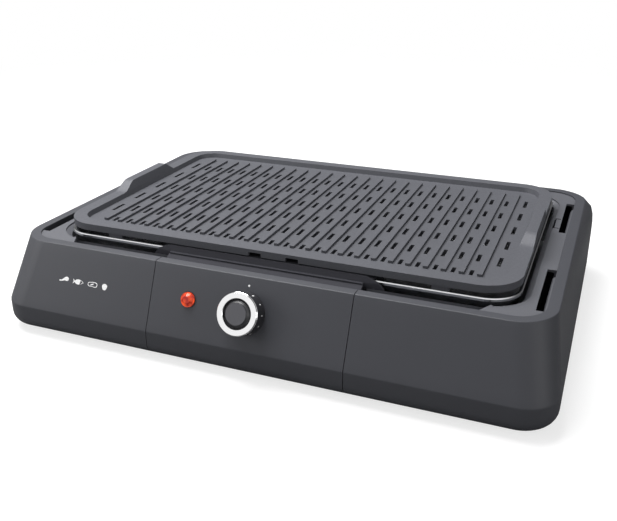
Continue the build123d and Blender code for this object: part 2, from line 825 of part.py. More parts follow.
holder = faceted(lamp_hole + 2.2, -wall - 2.2, -wall - 0.05) + faceted(lamp_hole + 1, -20, -wall - 2.2)
holder = holder - faceted(lamp_hole + running_fit, -14, 0)
for side in (-1, 1):
    holder = holder + Pos(side * 3, 0, -23) * Box(0.8, 3, 6.2)
save("lamp_holder", lamp_place * holder)

# Inside the control unit: thermal cut-out, terminal block and cord gland
cutout_x = 52.0
cutout_z = 52.0
cutout = hexagon(cutout_x, cutout_z, cover_inner - 8, cover_inner, 8)
for side in (-1, 1):
    cutout = cutout + box(
        (cutout_x + side * 5 - 2.5, cutout_x + side * 5 + 2.5),
        (cover_inner - 16, cover_inner - 7),
        (cutout_z - 0.4, cutout_z + 0.4),
    )
save("thermal_cutout", cutout)

terminal_low = plate_high
terminal_high = terminal_low + 14
terminal_block = box((-20, 20), (-172, -156), (terminal_low, terminal_high))
terminal_holes = [-13.0, 0.0, 13.0]
for x in terminal_holes:
    well_low = terminal_high - 6
    terminal_block = terminal_block - stud(x, -164, well_low, terminal_high + 1, 2.6)
    mouth = (terminal_low + 3, terminal_low + 7)
    terminal_block = terminal_block - box((x - 2, x + 2), (-160, -150), mouth)
save("terminal_block", terminal_block)

gland = hexagon(channel_x, gland_level, cover_inner - 3, cover_rear, gland_radius)
gland = gland + hexagon(channel_x, gland_level, cover_inner - 3, cover_inner, gland_radius + 1.6)
gland = gland - hexagon(channel_x, gland_level, cover_inner - 10, cover_rear + 10, 3.4)
save("cord_gland", gland)

# Grill plate: rim with a skirt, shallow pan with ribs and drain slots, and raised grips
plate_half_x = plate_width / 2
plate_half_y = plate_depth / 2
top_level = level(plate_top)
floor_level = top_level - floor_depth
floor_under = floor_level - floor_sheet


def plate_face_at(inwards, height):
    """Outline of the plate moved inwards, at a height from the floor."""
    half_x = plate_half_x - inwards
    half_y = plate_half_y - inwards
    return rounded(half_x, half_y, plate_corner - inwards, height, plate_shift)


rim_slab = block(plate_face_at(0, top_level - plate_rim_sheet), plate_rim_sheet)
skirt_low = top_level - plate_skirt
skirt_ring = block(plate_face_at(0, skirt_low), plate_skirt) - block(
    plate_face_at(plate_skirt_wall, skirt_low), plate_skirt
)
pan_slant = math.degrees(math.atan(floor_draft / floor_depth))
under_height = top_level - plate_rim_sheet - floor_under
under_slant = math.degrees(math.atan(plate_rim_sheet / under_height))
pan_outer = plate_face_at(plate_rim - plate_rim_sheet, top_level - plate_rim_sheet)
pan_outer = extrude(pan_outer, amount=-under_height, taper=under_slant)
pan_inner = plate_face_at(plate_rim, top_level)
pan_inner = extrude(pan_inner, amount=-floor_depth, taper=pan_slant)
grill_plate = Part() + rim_slab + skirt_ring + pan_outer - pan_inner
for x in notch_places:
    notch = box(
        (x - notch_width / 2, x + notch_width / 2),
        (plate_shift - plate_half_y - 1, plate_shift - plate_half_y + plate_skirt_wall + 1),
        (skirt_low - 1, skirt_low + notch_height),
    )
    grill_plate = grill_plate - notch
grip_top = top_level + grip_rise
ramp_start = rim_y + grip_front - grip_ramp
ramp_end = rim_y + grip_rear + grip_rear_ramp
grip_outline = [(ramp_start, top_level - 1)]
for step in range(7):
    part_way = step / 6
    rise = (1 - math.cos(part_way * math.pi)) / 2
    grip_outline.append((ramp_start + grip_ramp * part_way, top_level + grip_rise * rise))
grip_outline += [(rim_y + grip_rear, grip_top), (ramp_end, top_level), (ramp_end, top_level - 1)]
grip_face = make_face(Polyline(*grip_outline, close=True))
grip_low_x = plate_half_x - grip_inner
grip = extrude(Plane.YZ * grip_face, amount=grip_inner - grip_outer_inset)
grip = Pos(grip_low_x, 0, 0) * grip
grip_slant = Polyline(
    (grip_low_x, top_level),
    (grip_low_x + grip_draft, grip_top),
    (grip_low_x + grip_draft, grip_top + 1),
    (grip_low_x - 1, grip_top + 1),
    (grip_low_x - 1, top_level),
    close=True,
)
grip = grip - extrude(Plane.XZ * make_face(grip_slant), amount=200, both=True)
for shape in mirrored(grip):
    grill_plate = grill_plate + shape
rib_length = rib_rear - rib_front
rib = extrude(Rectangle(rib_width, rib_length), amount=rib_height + 1)
rib_y = rim_y + (rib_front + rib_rear) / 2
ribs = []
for number in range(-rib_count, rib_count + 1):
    ribs.append(Pos(number * rib_pitch, rib_y, floor_level - 1) * rib)
grill_plate = grill_plate + ribs
drains = []


def drain(x, y, length):
    """Cutter for one drain slot through the floor of the pan."""
    slot = extrude(Rectangle(drain_width, length), amount=floor_sheet + 2)
    return Pos(x, rim_y + y, floor_under - 1) * slot


def row_places(middle, pitch):
    """Distances of the slot rows from the middle of the base."""
    return [middle + pitch * (row - (drain_rows - 1) / 2) for row in range(drain_rows)]


for number in range(-rib_count, rib_count):
    x = (number + 0.5) * rib_pitch
    drains += [drain(x, y, drain_length) for y in row_places(drain_middle, drain_pitch)]
    drains.append(drain(x, drain_short_y, drain_short_length))
for x in (-outer_drain_x, outer_drain_x):
    rows_beside = row_places(outer_drain_middle, outer_drain_pitch)
    drains += [drain(x, y, outer_drain_length) for y in rows_beside]
grill_plate = grill_plate - drains

# Feet under the plate: two over the tray's front bead and two over the combs
rest_low = level(tray_bead_top) + fit
rest_front = plate_shift - plate_half_y + plate_skirt_wall
for x in (-rest_foot_x, rest_foot_x):
    sides = (x - rest_foot_width / 2, x + rest_foot_width / 2)
    span = (rest_front, rest_front + rest_foot_depth)
    grill_plate = grill_plate + box(sides, span, (rest_low, top_level - plate_rim_sheet + 0.5))
for x in (-comb_x, comb_x):
    sides = (x - rest_foot_depth / 2, x + rest_foot_depth / 2)
    span = (rear_foot_y - rest_foot_width / 2, rear_foot_y + rest_foot_width / 2)
    grill_plate = grill_plate + box(sides, span, (level(comb_high) + fit, floor_under + 0.5))
save("grill_plate", grill_plate)
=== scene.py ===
import json
import math

import bmesh
import bpy
from mathutils import Matrix, Vector


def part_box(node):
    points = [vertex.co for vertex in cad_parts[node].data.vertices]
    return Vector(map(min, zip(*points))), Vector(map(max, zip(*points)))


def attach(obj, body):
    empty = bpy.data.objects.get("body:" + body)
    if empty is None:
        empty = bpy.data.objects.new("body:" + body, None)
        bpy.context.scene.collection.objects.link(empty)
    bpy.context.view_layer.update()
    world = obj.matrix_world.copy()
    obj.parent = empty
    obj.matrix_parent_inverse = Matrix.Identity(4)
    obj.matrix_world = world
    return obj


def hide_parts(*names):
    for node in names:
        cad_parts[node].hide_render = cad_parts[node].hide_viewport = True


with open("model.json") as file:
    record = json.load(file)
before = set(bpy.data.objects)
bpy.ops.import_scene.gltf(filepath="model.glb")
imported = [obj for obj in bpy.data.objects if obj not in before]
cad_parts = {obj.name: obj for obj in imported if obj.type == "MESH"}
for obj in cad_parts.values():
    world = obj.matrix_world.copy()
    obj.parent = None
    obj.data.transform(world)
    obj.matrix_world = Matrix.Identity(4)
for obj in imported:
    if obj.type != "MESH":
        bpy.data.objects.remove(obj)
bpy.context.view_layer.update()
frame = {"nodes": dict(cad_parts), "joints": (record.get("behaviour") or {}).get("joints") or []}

bl_info = {
    "name": "Countertop Electric Grill",
    "version": (1, 0, 0),
    "blender": (4, 5, 0),
    "location": "View3D > Sidebar > Grill",
    "description": "Outer casing, finishes, marks and studio of a countertop electric grill",
    "category": "Object",
}

MM = 0.001

# Noise patterns lie mostly between these two values
NOISE_LOW = 0.3
NOISE_HIGH = 0.7
# Length of a rolling streak, as a multiple of its width
STREAK_LENGTH = 14.0
# Handle length of a Bezier curve that follows a quarter circle of radius 1
QUARTER_HANDLE = 0.5523
# Middle of a round edge, as a share of its radius from either face
EDGE_MIDDLE = 0.29
WHITE = (1.0, 1.0, 1.0, 1.0)

DIAL_JOINT = next(joint for joint in frame["joints"] if joint["name"] == "dial_turn")
DIAL_PLACE = Vector(DIAL_JOINT["pos_m"])
WALL_OUT = -Vector(DIAL_JOINT["axis"]).normalized()
WALL_RIGHT = Vector((1, 0, 0))
WALL_UP = WALL_OUT.cross(WALL_RIGHT)


def linear(hex_colour):
    """Linear RGB of an sRGB hex colour."""
    channels = [int(hex_colour[place : place + 2], 16) / 255 for place in (1, 3, 5)]
    return tuple(c / 12.92 if c <= 0.04045 else ((c + 0.055) / 1.055) ** 2.4 for c in channels)


def colour_property(name, description, hex_colour):
    return bpy.props.FloatVectorProperty(
        name=name,
        description=description,
        subtype="COLOR",
        size=3,
        min=0.0,
        max=1.0,
        default=linear(hex_colour),
    )


def length_property(name, description, millimetres):
    return bpy.props.FloatProperty(
        name=name,
        description=description,
        default=millimetres * MM,
        min=0.0,
        unit="LENGTH",
        precision=4,
    )


def power_property(name, description, watts):
    return bpy.props.FloatProperty(name=name, description=description, default=watts, unit="POWER")


class GrillColours(bpy.types.PropertyGroup):
    """Colours of the finishes."""

    casing: colour_property("Casing", "Moulded plastic of the casing and front panel", "#3D3E43")
    ledge: colour_property("Ledge", "Moulded plastic of the ledge round the tray", "#505156")
    # The bridge is the ledge's plastic drawn darker: painted shade under the plate
    bridge: colour_property("Bridge", "Moulded plastic under the front of the plate", "#38383D")
    plate: colour_property("Plate", "Non-stick coating of the grill plate", "#525358")
    inner: colour_property("Inner plastic", "Plain plastic of covers and base plate", "#46464A")
    steel: colour_property("Steel", "Bright rolled stainless steel of the tray", "#E0E1E3")
    sheet: colour_property("Sheet", "Galvanised sheet of the shield and brackets", "#8E9092")
    element: colour_property("Element", "Oxidised steel sheath of the heating element", "#2C2F2D")
    dial: colour_property("Dial", "Moulded plastic of the dial", "#27272A")
    cap: colour_property("Dial cap", "Moulded plastic of the dial's cap", "#4B4B50")
    chrome: colour_property("Chrome", "Plated ring of the dial", "#F2F2F3")
    lens: colour_property("Lens", "Tinted plastic of the pilot lamp", "#B3261C")
    print: colour_property("Print", "Printed marks", "#F4F4F4")
    rubber: colour_property("Rubber", "Feet and cord gland", "#161617")
    brass: colour_property("Brass", "Nut and contact pins", "#B08D4C")
    ceramic: colour_property("Fittings", "Switch bodies and terminal block", "#CFC9B8")


class GrillSizes(bpy.types.PropertyGroup):
    """Sizes of the drawn details."""

    print_thickness: length_property("Print thickness", "Height of the printed marks", 0.06)
    symbol_height: length_property("Symbol height", "Height of the food symbols", 5.0)
    symbol_line: length_property("Symbol line", "Line width of the outlined symbols", 0.7)
    pointer_radius: length_property("Pointer radius", "Radius of the dot above the dial", 0.9)
    pointer_height: length_property("Pointer height", "Height of the dot above the axis", 22.8)
    dial_radius: length_property("Dial radius", "Radius of the dial's side", 17.7)
    dial_mark: length_property("Dial mark", "Length of the marks on the dial's side", 2.0)
    tube_radius: length_property("Tube radius", "Radius of the heating element's tube", 3.3)
    tube_bend: length_property("Tube bend", "Bend radius of the heating element's tube", 10.5)
    grain: length_property("Moulding grain", "Spacing of the casing's spark-eroded grain", 0.9)


class GrillStage(bpy.types.PropertyGroup):
    """Floor, lamps and camera."""

    floor: colour_property("Floor", "Colour of the floor and backdrop", "#FFFFFF")
    top_power: power_property("Top lamp", "Power of the soft lamp overhead", 42.0)
    side_power: power_property("Side lamp", "Power of the soft lamp at the front left", 3.3)
    fill_power: power_property("Fill lamp", "Power of the soft lamp at the right", 2.2)
    focal_length: bpy.props.FloatProperty(
        name="Focal length", description="Focal length of the camera in millimetres", default=45.35
    )


def colours():
    return bpy.context.scene.grill_colours


def sizes():
    return bpy.context.scene.grill_sizes


def stage_settings():
    return bpy.context.scene.grill_stage


def rgba(colour, factor=1.0):
    """Colour of a property with full alpha, made lighter or darker by a factor."""
    return (*[min(channel * factor, 1.0) for channel in colour], 1.0)


def add_node(tree, kind, settings=None, inputs=None, links=None):
    """Add one node with its settings, its socket values and its links from other nodes."""
    node = tree.nodes.new(kind)
    for name, value in (settings or {}).items():
        setattr(node, name, value)
    for name, value in (inputs or {}).items():
        node.inputs[name].default_value = value
    for name, output in (links or {}).items():
        tree.links.new(output, node.inputs[name])
    return node


def new_material(name):
    """An empty node material and its tree."""
    material = bpy.data.materials.new(name)
    material.use_nodes = True
    material.node_tree.nodes.clear()
    return material, material.node_tree


def finish_surface(tree, inputs, links):
    """Add the surface shader with fixed values and linked patterns, and the output."""
    shader = add_node(tree, "ShaderNodeBsdfPrincipled", inputs=inputs, links=links)
    add_node(tree, "ShaderNodeOutputMaterial", links={"Surface": shader.outputs[0]})


def finish_metal(tree, pattern, colour, shades, dullness, metallic=1.0):
    """Add a metal whose shade and roughness follow one pattern, and the output."""
    finish_surface(
        tree,
        {"Metallic": metallic},
        {
            "Base Color": blend(tree, pattern, *[rgba(colour, shade) for shade in shades]),
            "Roughness": spread(tree, pattern, *dullness),
        },
    )


def object_position(tree):
    """Position on the object in metres."""
    return add_node(tree, "ShaderNodeTexCoord").outputs["Object"]


def per_metre(millimetres):
    """Texture scale whose pattern repeats about every so many millimetres."""
    return 1000.0 / millimetres


def noise(tree, place, size_mm, detail, roughness=0.5):
    """Cloudy pattern of a size in millimetres."""
    pattern = add_node(
        tree,
        "ShaderNodeTexNoise",
        inputs={"Scale": per_metre(size_mm), "Detail": detail, "Roughness": roughness},
        links={"Vector": place},
    )
    return pattern.outputs["Fac"]


def cells(tree, place, size_mm):
    """Distance from the middles of scattered cells of a size in millimetres."""
    pattern = add_node(
        tree,
        "ShaderNodeTexVoronoi",
        inputs={"Scale": per_metre(size_mm), "Randomness": 1.0},
        links={"Vector": place},
    )
    return pattern.outputs["Distance"]


def spread(tree, value, low, high, start=NOISE_LOW, end=NOISE_HIGH):
    """Map a pattern's span onto the values between two numbers."""
    mapped = add_node(
        tree,
        "ShaderNodeMapRange",
        inputs={"From Min": start, "From Max": end, "To Min": low, "To Max": high},
        links={"Value": value},
    )
    return mapped.outputs["Result"]


def blend(tree, factor, first, second):
    """Mix two colours by a pattern."""
    mixed = add_node(
        tree,
        "ShaderNodeMix",
        settings={"data_type": "RGBA"},
        inputs={"A": first, "B": second},
        links={"Factor": factor},
    )
    return mixed.outputs["Result"]


def relief(tree, height, strength, depth_mm):
    """Normal of a fine relief, with its depth in millimetres."""
    bump = add_node(
        tree,
        "ShaderNodeBump",
        inputs={"Strength": strength, "Distance": depth_mm * MM},
        links={"Height": height},
    )
    return bump.outputs["Normal"]


def mix_shaders(tree, factor, first, second):
    """Mix two shaders by a factor."""
    mixed = add_node(tree, "ShaderNodeMixShader", links={0: factor, 1: first, 2: second})
    return mixed.outputs[0]


def moulded_plastic(name, colour, grain_mm, roughness, depth_mm=0.03, shift=0.06, gloss=0.5):
    """ABS moulded in a spark-eroded tool: an even matt grain with slight flow shading."""
    material, tree = new_material(name)
    place = object_position(tree)
    # 70 mm is the size of the faint flow clouds of a large moulding
    clouds = noise(tree, place, 70, 3.0)
    # The real grain is about 0.1 mm and is drawn coarser, so that it shows
    grain = noise(tree, place, grain_mm, 4.0, 0.65)
    finish_surface(
        tree,
        {"IOR": 1.53, "Specular IOR Level": gloss},
        {
            "Base Color": blend(tree, clouds, rgba(colour, 1 - shift), rgba(colour, 1 + shift)),
            "Roughness": spread(tree, grain, roughness - 0.05, roughness + 0.05),
            "Normal": relief(tree, grain, 0.35, depth_mm),
        },
    )
    return material


def non_stick_coating(name, colour):
    """PTFE sprayed on die-cast aluminium: satin, with fine lighter flecks and orange peel."""
    material, tree = new_material(name)
    place = object_position(tree)
    # Flecks are about 0.3 mm and are drawn at 1.1 mm, so that they show
    spots = spread(tree, cells(tree, place, 1.1), 1.0, 0.0, 0.12, 0.3)
    peel = noise(tree, place, 2.2, 3.0)
    finish_surface(
        tree,
        {"IOR": 1.45, "Metallic": 0.1, "Specular IOR Level": 0.3},
        {
            "Base Color": blend(tree, spots, rgba(colour), rgba(colour, 1.35)),
            "Roughness": spread(tree, peel, 0.38, 0.5),
            "Normal": relief(tree, peel, 0.3, 0.04),
        },
    )
    return material


def rolled_metal(name, colour, roughness, line_mm):
    """Cold-rolled sheet: bright, with fine streaks along the rolling direction."""
    material, tree = new_material(name)
    stretch = add_node(
        tree,
        "ShaderNodeMapping",
        inputs={"Scale": (1.0, STREAK_LENGTH, STREAK_LENGTH)},
        links={"Vector": object_position(tree)},
    )
    streaks = noise(tree, stretch.outputs["Vector"], line_mm * STREAK_LENGTH, 5.0, 0.6)
    finish_metal(tree, streaks, colour, (0.9, 1.08), (roughness * 0.8, roughness * 1.25))
    return material


def oxidised_sheath(name, colour):
    """Nickel steel tube oxidised by heat: dark olive grey with cloudy tempering."""
    material, tree = new_material(name)
    # Tempering clouds are about 12 mm long on a tube of this size
    clouds = noise(tree, object_position(tree), 12, 4.0, 0.6)
    finish_metal(tree, clouds, colour, (0.75, 1.5), (0.45, 0.65), metallic=0.7)
    return material


def plated_chrome(name, colour):
    """Bright chrome plated on moulded plastic: mirror-like, with faint polishing haze."""
    material, tree = new_material(name)
    # Polishing haze comes in patches of about 6 mm
    haze = noise(tree, object_position(tree), 6, 2.0)
    finish_metal(tree, haze, colour, (0.97, 1.0), (0.08, 0.16))
    return material


def tinted_lens(name, colour):
    """Clear tinted polycarbonate moulded with facets: deep red with orange patches."""
    material, tree = new_material(name)
    # Light gathers in the facets in patches of about 5 mm
    spots = spread(tree, cells(tree, object_position(tree), 5.0), 1.0, 0.0, 0.1, 0.75)
    tint = blend(tree, spots, rgba(colour, 0.6), rgba(linear("#FF5A20")))
    finish_surface(
        tree,
        {"IOR": 1.58, "Roughness": 0.18, "Emission Strength": 0.45, "Specular IOR Level": 0.3},
        {"Base Color": tint, "Emission Color": tint},
    )
    return material


def printed_ink(name, colour):
    """Pad-printed ink: an even matt film with slight unevenness."""
    material, tree = new_material(name)
    # Ink lies unevenly over about 1 mm
    film = noise(tree, object_position(tree), 1.0, 2.0)
    tint = blend(tree, film, rgba(colour, 0.94), rgba(colour))
    finish_surface(tree, {"Roughness": 0.5}, {"Base Color": tint})
    return material


def moulded_rubber(name, colour):
    """Nitrile rubber, moulded: dull, with a fine powdery bloom."""
    return moulded_plastic(name, colour, 1.2, 0.75, depth_mm=0.05, shift=0.15)


def smooth_shading(piece, sharp_degrees=32.0):
    """Shade a piece smoothly over edges that are flatter than the sharp angle.

    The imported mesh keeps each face's own vertices, so corners that share a place share a normal.
    Large triangles count for more, so that flat walls stay flat beside a round.
    """
    mesh = piece.data
    limit = math.cos(math.radians(sharp_degrees))
    corners = {}
    for polygon in mesh.polygons:
        for loop, index in zip(polygon.loop_indices, polygon.vertices):
            # Places closer than a thousandth of a millimetre count as one
            key = tuple(round(value * 1e6) for value in mesh.vertices[index].co)
            corners.setdefault(key, []).append((loop, polygon.normal, polygon.area))
    normals = [(0.0, 0.0, 0.0)] * len(mesh.loops)
    for sharing in corners.values():
        for loop, normal, _ in sharing:
            total = Vector()
            for _, other, area in sharing:
                if normal.dot(other) > limit:
                    total += other * area
            normals[loop] = total.normalized() if total.length > 0 else normal
    mesh.polygons.foreach_set("use_smooth", [True] * len(mesh.polygons))
    mesh.normals_split_custom_set(normals)


def dress(node, material):
    """Give a CAD node its material and smooth shading."""
    node_object = frame["nodes"][node]
    node_object.data.materials.clear()
    node_object.data.materials.append(material)
    smooth_shading(node_object)


def dress_all(nodes, material):
    for node in nodes:
        dress(node, material)


def link_object(name, data):
    made = bpy.data.objects.new(name, data)
    bpy.context.scene.collection.objects.link(made)
    return made


def mesh_object(name, built):
    """Object from a bmesh, which is freed."""
    mesh = bpy.data.meshes.new(name)
    built.to_mesh(mesh)
    built.free()
    return link_object(name, mesh)


def make_piece(name, built, material, body):
    """Object from a bmesh, riding on a body."""
    piece = mesh_object(name, built)
    piece.data.materials.append(material)
    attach(piece, body)
    return piece


def join_loops(built, first, second):
    """Close the band between two loops of as many points."""
    for index in range(len(first)):
        after = (index + 1) % len(first)
        built.faces.new((first[index], first[after], second[after], second[index]))


def wall_point(right, up, out=0.0):
    """Point on the front wall, at distances in metres from the dial's axis."""
    return DIAL_PLACE + WALL_RIGHT * right + WALL_UP * up + WALL_OUT * out


def lamp_centre():
    """Middle of the pilot lamp on the front wall, from the dial's axis."""
    low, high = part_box("lamp_lens")
    lamp = (low + high) / 2 - DIAL_PLACE
    return lamp.dot(WALL_RIGHT), lamp.dot(WALL_UP)


def print_outline(built, outline, thickness, hole=None):
    """Raise one closed outline, given as wall points, by a thickness; a hole makes it a line."""
    sink = thickness * 0.5
    top = [built.verts.new(wall_point(x, y, thickness)) for x, y in outline]
    low = [built.verts.new(wall_point(x, y, -sink)) for x, y in outline]
    join_loops(built, low, top)
    if hole is None:
        built.faces.new(top)
        built.faces.new(list(reversed(low)))
        return
    top_hole = [built.verts.new(wall_point(x, y, thickness)) for x, y in hole]
    low_hole = [built.verts.new(wall_point(x, y, -sink)) for x, y in hole]
    join_loops(built, top, top_hole)
    join_loops(built, low_hole, low)
    join_loops(built, top_hole, low_hole)


def ring_points(centre, radius_x, radius_y, count=20, start=0.0, sweep=2 * math.pi):
    """Points round an ellipse."""
    return [
        (
            centre[0] + radius_x * math.cos(start + sweep * step / count),
            centre[1] + radius_y * math.sin(start + sweep * step / count),
        )
        for step in range(count)
    ]


class CasingForm:
    """Plan outlines and section of the casing, measured from the middle of its rim."""

    half_x = 240.0 * MM
    half_y = 164.5 * MM
    corner = 33.0 * MM
    crease_drop = 56.3 * MM
    crease_corner = 30.0 * MM
    side_lean = 10.0 * MM
    rear_shoulder = 6.0 * MM
    rear_side_flare = 10.2 * MM
    rear_flare = 9.8 * MM
    rear_corner_growth = 7.0 * MM
    wall = 2.4 * MM
    edge_round = 0.7 * MM
    crease_round = 0.8 * MM
    skirt_round = 12.0 * MM
    skirt_low = 4.0 * MM
    lip_inset = 14.1 * MM
    seat_half = 250.2 * MM
    seat_corner = 50.0 * MM
    seat_bow = 1.4 * MM
    band_width = 9.3 * MM
    well_lip = 1.8 * MM
    well_lip_depth = 11.0 * MM
    shelf_width = 3.0 * MM
    shelf_thickness = 1.8 * MM
    notch_half = 89.6 * MM
    unit_half = 89.0 * MM
    recess_y = -141.0 * MM
    cheek_wall = 2.0 * MM
    corner_steps = 12
    side_steps = 7
    outer_steps = 8
    inner_steps = 6

    def __init__(self):
        low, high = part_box("inner_frame")
        self.middle_y = (low.y + high.y) / 2
        self.rim_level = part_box("base_shell")[1].z
        self.skirt_centre = self.rim_level - self.skirt_low - self.skirt_round
        self.slope = -WALL_UP.y / WALL_UP.z

    def front_y(self, drop, inset):
        """Front of the outline at a drop below the rim."""
        return self.slope * min(drop, self.crease_drop) + inset - self.half_y

    def outline(self, drop, inset, seat=False):
        """Open outline from the control unit's right edge round the back to its left edge.

        A seat outline follows the edge of the base plate, which has wider corners.
        """
        share = min(drop / self.crease_drop, 1.0)
        bulge = 1 - math.exp(-drop / self.rear_shoulder)
        front = self.front_y(drop, inset)
        rear = self.half_y + self.rear_flare * bulge - inset
        near = self.corner + (self.crease_corner - self.corner) * share - inset
        far = self.corner + self.rear_corner_growth * bulge - inset
        front_half = self.half_x + self.side_lean * share - inset
        rear_half = self.half_x + self.rear_side_flare * bulge - inset
        bow = 0.0
        if seat:
            front_half = rear_half = self.seat_half - inset
            near = self.seat_corner - inset
            bow = self.seat_bow
        half = [(self.notch_half, front)]
        half += self.arc((front_half - near, front + near), near, -90)
        start = Vector(half[-1])
        rounding = self.arc((rear_half - far, rear - far), far, 0)
        end = Vector(rounding[0])
        for step in range(1, self.side_steps):
            part = step / self.side_steps
            point = start.lerp(end, part)
            half.append((point.x + bow * 4 * part * (1 - part), point.y))
        half += rounding
        return half + [(-x, y) for x, y in reversed(half)]

    def arc(self, centre, radius, start_degrees):
        """Quarter circle, both ends included."""
        points = []
        for step in range(self.corner_steps + 1):
            angle = math.radians(start_degrees + 90 * step / self.corner_steps)
            x = centre[0] + radius * math.cos(angle)
            y = centre[1] + radius * math.sin(angle)
            points.append((x, y))
        return points

    def straight(self, start, end, inset, steps):
        """Section points along the wall, each on the outline at its own drop."""
        drops = [start + (end - start) * step / steps for step in range(steps + 1)]
        return [(drop, drop, inset, False) for drop in drops]

    def skirt(self, reach, steps):
        """Section points round the lower edge, from the wall down and inward."""
        points = []
        for step in range(steps + 1):
            angle = math.pi / 2 * step / steps
            drop = self.skirt_centre + reach * math.sin(angle)
            inset = self.skirt_round - reach * math.cos(angle)
            points.append((drop, self.crease_drop, inset, False))
        return points

    def section(self):
        """Closed section of the moulding as drop, drop of its outline, inset and seat."""
        edge = self.edge_round
        crease = self.crease_drop
        bottom = self.rim_level - self.skirt_low
        points = [(0.0, 0.0, edge, False), (edge * EDGE_MIDDLE, 0.0, edge * EDGE_MIDDLE, False)]
        points += self.straight(edge, crease - self.crease_round, 0.0, self.outer_steps)
        points.append((crease + self.crease_round, crease, 0.0, False))
        points += self.skirt(self.skirt_round, self.outer_steps)
        points.append((bottom, crease, self.lip_inset, True))
        points.append((bottom - self.wall, crease, self.lip_inset, True))
        points += reversed(self.skirt(self.skirt_round - self.wall, self.inner_steps))
        points += self.straight(crease, self.wall, self.wall, self.inner_steps)
        lip = self.band_width - self.well_lip
        shelf = self.band_width + self.shelf_width
        shelf_top = self.well_lip_depth - self.shelf_thickness
        points += [
            (self.wall, 0.0, lip, False),
            (self.well_lip_depth, 0.0, lip, False),
            (self.well_lip_depth, 0.0, shelf, False),
            (shelf_top, 0.0, shelf, False),
            (shelf_top, 0.0, self.band_width, False),
            (edge, 0.0, self.band_width, False),
            (edge * EDGE_MIDDLE, 0.0, self.band_width - edge * EDGE_MIDDLE, False),
            (0.0, 0.0, self.band_width - edge, False),
        ]
        return points

    def place(self, x, y, drop):
        return Vector((x, self.middle_y + y, self.rim_level - drop))


def skin_sections(built, layers):
    """Skin a row of closed sections of equal count and close both ends."""
    rows = [[built.verts.new(place) for place in layer] for layer in layers]
    for row, after in zip(rows, rows[1:]):
        join_loops(built, row, after)
    built.faces.new(list(reversed(rows[0])))
    built.faces.new(rows[-1])
    bmesh.ops.recalc_face_normals(built, faces=built.faces)


def cut_away(piece, cutters):
    """Subtract closed cutter objects from a piece and remove them."""
    for cutter in cutters:
        modifier = piece.modifiers.new("cut", "BOOLEAN")
        modifier.operation = "DIFFERENCE"
        modifier.solver = "EXACT"
        modifier.object = cutter
    graph = bpy.context.evaluated_depsgraph_get()
    piece.data = bpy.data.meshes.new_from_object(piece.evaluated_get(graph))
    piece.modifiers.clear()
    for cutter in cutters:
        bpy.data.objects.remove(cutter)


def cutter_box(low, high):
    """Box between two corners, for cutting."""
    built = bmesh.new()
    bmesh.ops.create_cube(built, size=1.0)
    for vertex in built.verts:
        vertex.co = Vector([a if c < 0 else b for a, b, c in zip(low, high, vertex.co)])
    return mesh_object("cutter", built)


def cutter_rod(right, up, radius, reach=9 * MM, sides=32):
    """Round rod through the front wall, for cutting."""
    built = bmesh.new()
    circle = ring_points((right, up), radius, radius, sides)
    skin_sections(built, [[wall_point(x, y, out) for x, y in circle] for out in (-reach, reach)])
    return mesh_object("cutter", built)


